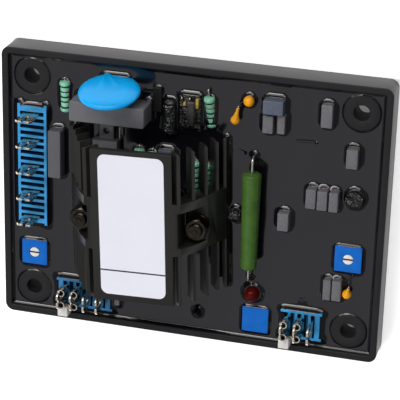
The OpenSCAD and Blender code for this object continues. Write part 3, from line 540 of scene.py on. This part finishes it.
half_profile = []
for i in range(25):
    t = math.pi / 2 * i / 24
    half_profile.append((disc_radius * math.sin(t), disc_half * math.sqrt(1 - math.sin(t) ** 5)))
disc = turned(half_profile + [(r, -z) for r, z in reversed(half_profile[:-1])], 120)
for vert in disc.verts:
    x, y = vert.co.x, vert.co.y
    from_peak = Vector((x, y - disc_radius))
    if vert.co.z > 0:
        for side in (-1, 1):
            line = Vector((side * ridge_end[0], ridge_end[1] - disc_radius))
            share = max(0.0, min(1.0, from_peak.dot(line) / line.length_squared))
            gap = (from_peak - share * line).length
            vert.co.z += ridge_height * math.exp(-(gap / ridge_width) ** 2) * (1 - share) ** 0.6
    if y > 0:
        near_rim = (math.hypot(x, y) / disc_radius) ** 8
        vert.co.y += peak_height * math.exp(-(x / peak_width) ** 2) * near_rim
placed(disc, Matrix.Translation(disc_centre), Matrix.Rotation(-disc_lean, 4, "X"),
       Matrix.Rotation(math.radians(22), 4, "Z"))
disc_blue = finish("disc_blue", shade(6, 166, 241), 0.3, vary=0.06, patch=200, grain=260, bump=0.12,
                   depth=0.1, ior=1.38)
piece("dipped_disc", disc, "regulator", [disc_blue], ["disc_varistor"], smooth=60)

# Bead capacitors: tantalum pellets dipped in yellow epoxy, which runs down the leads as a
# neck. Two of them lean over, so the neck shows, with the leads turned down into the resin.
lead_foot = resin_level - 0.5 * mm
bright_wire = finish("bright_wire", shade(206, 204, 196), 0.24, vary=0.1, patch=600, grain=2200, bump=0.1,
                     metal=1.0)
bead_yellow = finish("bead_yellow", shade(232, 160, 26), 0.22, vary=0.12, patch=400, grain=600, bump=0.1,
                     ior=1.4)


def wire(corners, radius, bend, sides=12):
    """A round wire through some corner points, with a smooth bend at each inner one."""
    corners = [Vector(c) for c in corners]
    path = [corners[0]]
    for before, corner, after in zip(corners, corners[1:], corners[2:]):
        back, on = (before - corner).normalized(), (after - corner).normalized()
        path += [corner + back * bend * (1 - i / 6) ** 2 + on * bend * (i / 6) ** 2 for i in range(7)]
    path.append(corners[-1])
    shell = bmesh.new()
    bmesh.ops.create_circle(shell, cap_ends=True, segments=sides, radius=radius)
    heading = (path[1] - path[0]).normalized()
    turn = Vector((0, 0, 1)).rotation_difference(heading)
    placed(shell, Matrix.Translation(path[0]), turn.to_matrix().to_4x4())
    rim = list(shell.edges)
    for i in range(1, len(path)):
        after = (path[min(i + 1, len(path) - 1)] - path[i - 1]).normalized()
        grown = bmesh.ops.extrude_edge_only(shell, edges=rim)["geom"]
        verts = [g for g in grown if isinstance(g, bmesh.types.BMVert)]
        rim = [g for g in grown if isinstance(g, bmesh.types.BMEdge)]
        move = (Matrix.Translation(path[i]) @ heading.rotation_difference(after).to_matrix().to_4x4()
                @ Matrix.Translation(-path[i - 1]))
        bmesh.ops.transform(shell, matrix=move, verts=verts)
        heading = after
    bmesh.ops.contextual_create(shell, geom=rim)
    bmesh.ops.recalc_face_normals(shell, faces=shell.faces)
    return shell


def joined(*shells):
    """One bmesh from several, each keeping its own closed surface."""
    whole = shells[0]
    for other in shells[1:]:
        spare = bpy.data.meshes.new("spare")
        other.to_mesh(spare)
        whole.from_mesh(spare)
        other.free()
        bpy.data.meshes.remove(spare)
    return whole


def teardrop(radius, length, tip):
    """A dipped bead about the origin, drawn out along Z to a narrow neck."""
    profile = []
    for i in range(33):
        t = i / 32
        height = -radius + (length + radius) * t ** 1.3
        ball = math.sqrt(max(0.0, radius ** 2 - height ** 2)) if height < 0.55 * radius else 0.0
        run = max(0.0, (height - 0.55 * radius) / (length - 0.55 * radius))
        neck = tip + (0.835 * radius - tip) * (1 - run) ** 2.2
        profile.append((ball if height < 0.55 * radius else neck, height))
    return turned([(0.0, -radius)] + profile[1:] + [(0.0, length)], 32)


low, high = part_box("bead_capacitor_upper")
upper_bead = teardrop(1.95 * mm, 2.6 * mm, 1.0 * mm)
placed(upper_bead,
       Matrix.Translation(((low.x + high.x) / 2, (low.y + high.y) / 2, resin_level + 2.6 * mm)),
       Matrix.Rotation(math.pi, 4, "X"))
piece("upper_bead", upper_bead, "regulator", [bead_yellow], ["bead_capacitor_upper"],
      smooth=50)
for name, place, radius, rise, length, lean in [
        ("leaning", (15.76, 34.49), 1.65, 2.2, 5.4, 74), ("lower", (58.93, -26.23), 1.72, 2.6, 3.6, 58)]:
    lean, aim = math.radians(lean), math.radians(76)
    centre = Vector((place[0] * mm, place[1] * mm, resin_level + rise * mm))
    reach = Vector((math.sin(lean) * math.cos(aim), math.sin(lean) * math.sin(aim), math.cos(lean)))
    bead = teardrop(radius * mm, length * mm, 0.5 * mm)
    placed(bead, Matrix.Translation(centre), Matrix.Rotation(aim, 4, "Z"), Matrix.Rotation(lean, 4, "Y"))
    tip = centre + reach * (length - 0.4) * mm
    foot = tip + Vector((reach.x, reach.y, 0)).normalized() * 1.1 * mm
    knee = foot + Vector((0, 0, 0.2 * mm))
    lead = wire([tip, knee, (foot.x, foot.y, lead_foot)], 0.28 * mm, 0.5 * mm)
    piece(name + "_bead", joined(bead, paint(lead, 1)), "regulator",
          [bead_yellow, bright_wire], ["bead_capacitor_" + name], smooth=50)

# Banded resistors: metal film on a ceramic rod with a pale green coat and five painted
# bands, the ends swollen over the pressed caps. Two lie tilted, one end deep in the resin.
mint_coat = finish("mint_coat", shade(128, 196, 168), 0.26, vary=0.06, patch=500, grain=900, bump=0.1,
                   coat=0.3)
band_dark = finish("band_dark", shade(28, 40, 38), 0.3, vary=0.2, patch=900, grain=900, bump=0.1)
band_brown = finish("band_brown", shade(150, 84, 40), 0.3, vary=0.15, patch=900, grain=900, bump=0.1)
band_places = [0.17, 0.34, 0.5, 0.65, 0.83]
rod_length = 12 * mm
lead_start, lead_knee, far_knee = 5.6 * mm, 7.1 * mm, 8.8 * mm
for name, tilt, rise, brown in [
        ("resistor_upper_left", 5, 0.5, None), ("resistor_upper_middle", 12, 0.3, 1),
        ("resistor_under_top_1", 0, 0.9, 0), ("resistor_under_top_2", 0, 0.9, 2),
        ("resistor_between_fins_1", 0, 0.9, 1), ("resistor_between_fins_2", 0, 0.9, 3)]:
    low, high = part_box(name)
    steep = name == "resistor_upper_middle"
    slope = math.radians(tilt)
    profile = [(0.0, -rod_length / 2)]
    for i in range(73):
        share = i / 72
        end = min(share, 1 - share)
        radius = 1.72 + 0.33 * math.exp(-((end - 0.1) / 0.075) ** 2)
        radius -= sum(0.13 * math.exp(-((share - place) / 0.03) ** 2) for place in band_places)
        radius *= math.sqrt(max(0.04, 1 - max(0.0, 1 - end / 0.035) ** 2))
        profile.append((radius * mm, (share - 0.5) * rod_length))
    body = turned(profile + [(0.0, rod_length / 2)], 36)
    for number, place in enumerate(band_places):
        band = 2 if number == brown else 1
        paint(body, band, lambda c, p=place: abs(c.z / rod_length + p - 0.5) < 0.026)
    middle_y = (low.y + high.y) / 2
    if tilt:
        middle_y = high.y - (lead_knee * math.cos(slope) + 0.35 * mm)
    centre = Vector(((low.x + high.x) / 2, middle_y, resin_level + rise * mm))
    turn = Matrix.Rotation(math.radians(4 if steep else 0), 4, "Z")
    placed(body, Matrix.Translation(centre), turn, Matrix.Rotation(slope, 4, "X"),
           Matrix.Rotation(-math.pi / 2, 4, "X"))
    for side in ([1] if tilt else [-1, 1]):
        along = turn @ Vector((0, side * math.cos(slope), side * math.sin(slope)))
        start, knee = centre + along * lead_start, centre + along * (far_knee if steep else lead_knee)
        lead = wire([start, knee, (knee.x, knee.y, lead_foot)], 0.35 * mm, 0.6 * mm)
        body = joined(body, paint(lead, 3))
    piece("banded_" + name, body, "regulator",
          [mint_coat, band_dark, band_brown, bright_wire], [name], smooth=50)

# Power resistor: wire wound on a ceramic tube under green vitreous enamel, with a metal
# cap under the enamel at each end, and two stiff leads bent down through the resin.
enamel_green = finish("enamel_green", shade(62, 96, 38), 0.27, vary=0.14, patch=220, grain=500, bump=0.12,
                      depth=0.1, ior=1.35)
low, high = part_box("power_resistor")
power_half = (high.y - low.y) / 2
power_centre = (low + high) / 2
power_radius = 3.4 * mm
profile = [(0.0, -power_half)]
for i in range(61):
    share = i / 60
    end = min(share, 1 - share)
    flare = 0.03 * math.exp(-((end - 0.05) / 0.03) ** 2)
    radius = power_radius * (1 + flare - 0.012 * math.sin(math.pi * share))
    radius *= math.sqrt(max(0.45, 1 - max(0.0, 1 - end / 0.022) ** 2)) * (0.86 + 0.14 * share)
    profile.append((radius, (share - 0.5) * 2 * power_half))
enamelled = turned(profile + [(0.0, power_half)], 56)
placed(enamelled, Matrix.Translation(power_centre), Matrix.Rotation(-math.pi / 2, 4, "X"))
piece("enamelled_resistor", enamelled, "regulator", [enamel_green], ["power_resistor"],
      smooth=50)
leads = []
for side in (-1, 1):
    start = power_centre + Vector((0, side * (power_half - 1 * mm), 0))
    knee = power_centre + Vector((0, side * (power_half + lead_reach), 0))
    leads.append(wire([start, knee, (knee.x, knee.y, lead_foot)], 0.52 * mm, 2.2 * mm, 16))
piece("stiff_leads", joined(*leads), "regulator", [bright_wire], ["power_resistor_leads"],
      smooth=50)

# Wire link: a bare tinned wire, cut to length and bent into an arch over the switching
# device, with both ends in the resin.
arch_wire = 0.35 * mm
arch_foot = resin_level - 0.4 * mm
low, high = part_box("wire_link")
arch_x, arch_top = (low.x + high.x) / 2, high.z - arch_wire
near_y, far_y = low.y + arch_wire, high.y - arch_wire
arch = wire([(arch_x, near_y, arch_foot), (arch_x, near_y, arch_top), (arch_x, far_y, arch_top),
             (arch_x, far_y, arch_foot)], arch_wire, 0.9 * mm)
piece("bare_wire_arch", arch, "regulator", [bright_wire], ["wire_link"], smooth=50)

# Lamp: a dark red epoxy dome on a flange, cast in one piece over its leads and potted up
# to the flange.
lens_radius, lens_base = 2.75 * mm, 2.85 * mm
lamp_red = finish("lamp_red", shade(72, 9, 6), 0.12, vary=0.3, patch=500, grain=1200, bump=0.04, ior=1.22)
low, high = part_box("indicator_lamp")
profile = [(0.0, -1 * mm), (3.0 * mm, -1 * mm), (3.15 * mm, -0.85 * mm), (3.15 * mm, -0.1 * mm),
           (3.05 * mm, 0.0), (lens_radius, 0.05 * mm), (lens_radius, lens_base)]
for i in range(1, 14):
    a = math.pi / 2 * i / 14
    profile.append((lens_radius * math.cos(a), lens_base + lens_radius * math.sin(a)))
profile.append((0.0, lens_base + lens_radius))
dome = turned(profile, 48)
placed(dome, Matrix.Translation(((low.x + high.x) / 2, (low.y + high.y) / 2, resin_level)))
piece("lamp_dome", dome, "regulator", [lamp_red], ["indicator_lamp"], smooth=45)

# Small transistors: black epoxy mouldings with one flat side and softly rounded edges. The
# resin has wetted them, so they shine in small uneven spots.
wetted_black = finish("wetted_black", shade(10, 10, 11), 0.1, vary=0.3, patch=300, grain=520, bump=1.0,
                      depth=2.4, ior=1.75)
for name in ["transistor_right", "transistor_middle"]:
    body = rounded_copy(name, 0.4 * mm, 3)
    piece("moulded_" + name, body, "regulator", [wetted_black], [name])

# Standing diode: a black moulded post with a rounded top, standing in the resin on one of
# its leads.
small_black = finish("small_black", shade(16, 16, 17), 0.3, grain=3000, bump=0.25, ior=1.28)
low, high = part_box("standing_diode")
post_radius = (high.x - low.x) / 2
post = turned([(0.0, -1 * mm), (post_radius, -1 * mm), (post_radius, 4.2 * mm),
               (post_radius * 0.93, 4.75 * mm), (post_radius * 0.7, 5.1 * mm), (0.0, 5.2 * mm)], 32)
placed(post, Matrix.Translation(((low.x + high.x) / 2, (low.y + high.y) / 2, resin_level)))
piece("diode_post", post, "regulator", [small_black], ["standing_diode"])

# Moulded diode: a small black epoxy block beside the box capacitor, with one lead bent out
# to its left and down into the resin. Only the long edges are broken.
block = copy_of("moulded_diode")
break_edges(block, [e for e in sharp_edges(block) if e.calc_length() > 1.2 * mm], 0.2 * mm, 2)
piece("moulded_diode_block", block, "regulator", [small_black], ["moulded_diode"])

# Electrolytic capacitor: an aluminium can in a dark sleeve, lying half in the resin, with
# a deep rolled groove near its sealed end and two faint ones further down.
sleeve_dark = finish("sleeve_dark", shade(14, 16, 16), 0.12, vary=0.3, patch=300, grain=520, bump=1.0,
                     depth=1.7, ior=1.75)
low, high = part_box("electrolytic_capacitor")
can_radius, can_half = (high.x - low.x) / 2, (high.y - low.y) / 2
profile = [(0.0, -can_half), (0.72 * can_radius, -can_half), (0.8 * can_radius, -can_half + 0.15 * mm)]
for i in range(61):
    share = i / 60
    end = min(share, 1 - share)
    radius = 1 - 0.1 * math.exp(-((share - 0.86) / 0.02) ** 2)
    radius -= sum(0.045 * math.exp(-((share - place) / 0.012) ** 2) for place in (0.3, 0.42))
    radius *= math.sqrt(max(0.6, 1 - max(0.0, 1 - end / 0.05) ** 2))
    profile.append((radius * can_radius, (share - 0.5) * 2 * (can_half - 0.2 * mm)))
profile += [(0.7 * can_radius, can_half - 0.1 * mm), (0.6 * can_radius, can_half), (0.0, can_half)]
can = turned(profile, 44)
placed(can, Matrix.Translation(((low.x + high.x) / 2, (low.y + high.y) / 2, resin_level + 1.7 * mm)),
       Matrix.Rotation(-math.pi / 2, 4, "X"))
piece("sleeved_can", can, "regulator", [sleeve_dark], ["electrolytic_capacitor"],
      smooth=50)

# Pulse transformer: a ferrite core on a dark bobbin, its winding wrapped in yellow tape
# that shows along both sides of the core, and pins bent over at the upper end.
ferrite = finish("ferrite", shade(44, 42, 41), 0.26, vary=0.25, patch=500, grain=1600, bump=0.3)
yellow_tape = finish("yellow_tape", shade(170, 150, 44), 0.25, vary=0.35, patch=500, grain=700, bump=0.1,
                     coat=0.3)
bobbin_dark = finish("bobbin_dark", shade(12, 12, 12), 0.12, vary=0.2, patch=300, grain=520, bump=1.0,
                     depth=1.6, ior=1.7)
core_half, core_shift = 4.7 * mm, 0.7 * mm
low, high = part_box("pulse_transformer")
core_x, core_y = (low.x + high.x) / 2, (low.y + high.y) / 2


def block_of(width, length, height, rounding, x=0.0, y=0.0, z=0.0):
    """A box with rounded edges, its bottom face's middle at a place."""
    shell = bmesh.new()
    bmesh.ops.create_cube(shell, size=1.0)
    placed(shell, Matrix.Translation((x, y, z + height / 2)), Matrix.Diagonal((width, length, height, 1)))
    break_edges(shell, list(shell.edges), rounding, 3)
    return shell


bobbin = block_of(7.9 * mm, 12.2 * mm, 3.9 * mm, 0.4 * mm, z=-1.3 * mm)
winding = block_of(5.3 * mm, 7.6 * mm, 1.9 * mm, 0.9 * mm, z=2.2 * mm)
tape = joined(block_of(1.1 * mm, 3.6 * mm, 1.9 * mm, 0.3 * mm, x=2.9 * mm, y=4.0 * mm, z=2.4 * mm),
              block_of(1.0 * mm, 1.4 * mm, 1.7 * mm, 0.3 * mm, x=-1.7 * mm, y=3.4 * mm, z=2.5 * mm))
core = block_of(3.7 * mm, 9.4 * mm, 2.3 * mm, 0.8 * mm, z=2.3 * mm)
for vert in core.verts:
    vert.co.x = vert.co.x * (0.78 + 0.22 * vert.co.y / core_half) + core_shift
wound = joined(paint(bobbin, 2), paint(winding, 2), paint(tape, 1), core)
for x in (-2.9 * mm, 0.0, 2.9 * mm):
    bends = [(x, 3.2 * mm, 2.4 * mm), (x, 5.3 * mm, 3.4 * mm), (x, 5.9 * mm, 2.2 * mm)]
    wound = joined(wound, paint(wire(bends, 0.3 * mm, 0.4 * mm), 3))
placed(wound, Matrix.Translation((core_x, core_y, resin_level)))
piece("wound_transformer", wound, "regulator",
      [ferrite, yellow_tape, bobbin_dark, bright_wire], ["pulse_transformer"])

# Switching device: a grey plastic power package with a drilled tab, soldered to the board
# beside the heatsink and lying in the resin.
device_grey = finish("device_grey", shade(92, 92, 95), 0.45, grain=2600, bump=0.25)
device = rounded_copy("switching_device", 0.2 * mm)
piece("power_package", device, "regulator", [device_grey], ["switching_device"])

# Heatsink: a black anodised extrusion, sawn to length and milled away at both ends so
# that only the middle is solid, with a flat-bottomed seat for each nut.
anodised = finish("anodised", shade(29, 28, 26), 0.34, vary=0.18, patch=90, grain=1500, bump=0.18,
                  ior=1.45)
hood = rounded_copy("heatsink", 0.16 * mm, angle=30)
piece("finned_hood", hood, "regulator", [anodised], ["heatsink"])

# Studs, washers and nuts: zinc-plated steel, dulled. The studs stand on the board, pass
# through the heatsink's seats, and show their rolled threads above the nuts.
dull_zinc = finish("dull_zinc", shade(58, 54, 47), 0.24, vary=0.35, patch=500, grain=1500, bump=0.2,
                   metal=1.0)
stud_radius, flange_radius, flange_height = 2.3 * mm, 4 * mm, 1.5 * mm
stud_reach = Vector((21.3 * mm, -1.1 * mm))
thread_pitch, thread_depth = 0.7 * mm, 0.38 * mm
nut_half = 3.8 * mm
washer_bore, washer_rim, washer_edge = 2.4 * mm, 4.4 * mm, 0.15 * mm
seat, washer_top = (corner.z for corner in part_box("heatsink_washers"))
stud_foot, stud_top = (corner.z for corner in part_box("heatsink_studs"))
nut_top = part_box("heatsink_nuts")[1].z


def hex_nut(half_flats, bore, bottom, top):
    """A hexagon nut with its corners turned off above and below, and a chamfered bore."""
    chamfer, face_reach = 0.3 * mm, 0.96 * half_flats

    def section(angle):
        """The nut's section at an angle, from the top of the bore round to its lower face."""
        reach = half_flats / math.cos((angle + math.pi / 6) % (math.pi / 3) - math.pi / 6)
        drop = (reach - face_reach) * 0.58
        return [(bore, top - chamfer), (bore + chamfer, top), (face_reach, top), (reach, top - drop),
                (reach, bottom + drop), (face_reach, bottom)]

    shell = bmesh.new()
    bmesh.ops.create_circle(shell, cap_ends=False, segments=72, radius=bore,
                            matrix=Matrix.Translation((0, 0, bottom)))
    edges = list(shell.edges)
    for step in range(6):
        grown = bmesh.ops.extrude_edge_only(shell, edges=edges)["geom"]
        edges = [g for g in grown if isinstance(g, bmesh.types.BMEdge)]
        for vert in [g for g in grown if isinstance(g, bmesh.types.BMVert)]:
            angle = math.atan2(vert.co.y, vert.co.x)
            reach, level = section(angle)[step]
            vert.co = (reach * math.cos(angle), reach * math.sin(angle), level)
    loops = [e for e in shell.edges if len(e.link_faces) == 1]
    bmesh.ops.bridge_loops(shell, edges=loops)
    bmesh.ops.recalc_face_normals(shell, faces=shell.faces)
    return shell


threads, nuts, washers = [], [], []
for side in (-1, 1):
    across = Matrix.Rotation(hood_turn, 2) @ Vector((side * stud_reach.x, stud_reach.y))
    spot = Matrix.Translation((hood_centre + across).to_3d())
    profile = [(0.0, stud_foot), (flange_radius, stud_foot), (flange_radius, stud_foot + flange_height),
               (stud_radius, stud_foot + flange_height)]
    height = seat
    while height < stud_top - 0.8 * thread_pitch:
        profile += [(stud_radius, height), (stud_radius - thread_depth, height + thread_pitch / 2)]
        height += thread_pitch
    profile += [(stud_radius, height), (stud_radius - 0.5 * mm, stud_top),
                (1.35 * mm, stud_top - 0.1 * mm), (1.0 * mm, stud_top),
                (0.6 * mm, stud_top - 0.2 * mm), (0.0, stud_top - 0.25 * mm)]
    thread = turned(profile, 40)
    placed(thread, spot)
    threads.append(thread)
    nut = hex_nut(nut_half, stud_radius, washer_top, nut_top)
    placed(nut, spot, Matrix.Rotation(math.radians(20 + 25 * side), 4, "Z"))
    nuts.append(nut)
    washer = turned([(washer_bore, seat), (washer_rim, seat), (washer_rim, washer_top - washer_edge),
                     (washer_rim - washer_edge, washer_top), (washer_bore + washer_edge, washer_top),
                     (washer_bore, washer_top - washer_edge), (washer_bore, seat)], 56)
    placed(washer, spot)
    washers.append(washer)
piece("threaded_studs", joined(*threads), "regulator", [dull_zinc], ["heatsink_studs"],
      smooth=30)
piece("hexagon_nuts", joined(*nuts), "regulator", [dull_zinc], ["heatsink_nuts"],
      smooth=30)
piece("plain_washers", joined(*washers), "regulator", [dull_zinc], ["heatsink_washers"],
      smooth=30)

# Label: bare white film on the flat top, with round corners and one thin black rule
# printed across it.
label_white = finish("label_white", shade(226, 228, 239), 0.4, vary=0.02, patch=60, grain=1500, bump=0.05)
rule_black = finish("rule_black", shade(24, 25, 30), 0.45, vary=0.1, patch=400, grain=1500, bump=0.05)
rule_width, rule_height = 0.55 * mm, 9.3 * mm
label = copy_of("blank_label")
across = Vector((-math.sin(hood_turn), math.cos(hood_turn), 0))
label_foot = Vector((hood_centre.x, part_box("blank_label")[0].y, 0))
for share in (rule_height, rule_height + rule_width):
    bmesh.ops.bisect_plane(label, geom=label.verts[:] + label.edges[:] + label.faces[:], dist=0.0001 * mm,
                           plane_co=label_foot + across * share, plane_no=across)
paint(label, 1, lambda c: 0 < (c - label_foot).dot(across) - rule_height < rule_width)
piece("bare_label", label, "regulator", [label_white, rule_black], ["blank_label"])
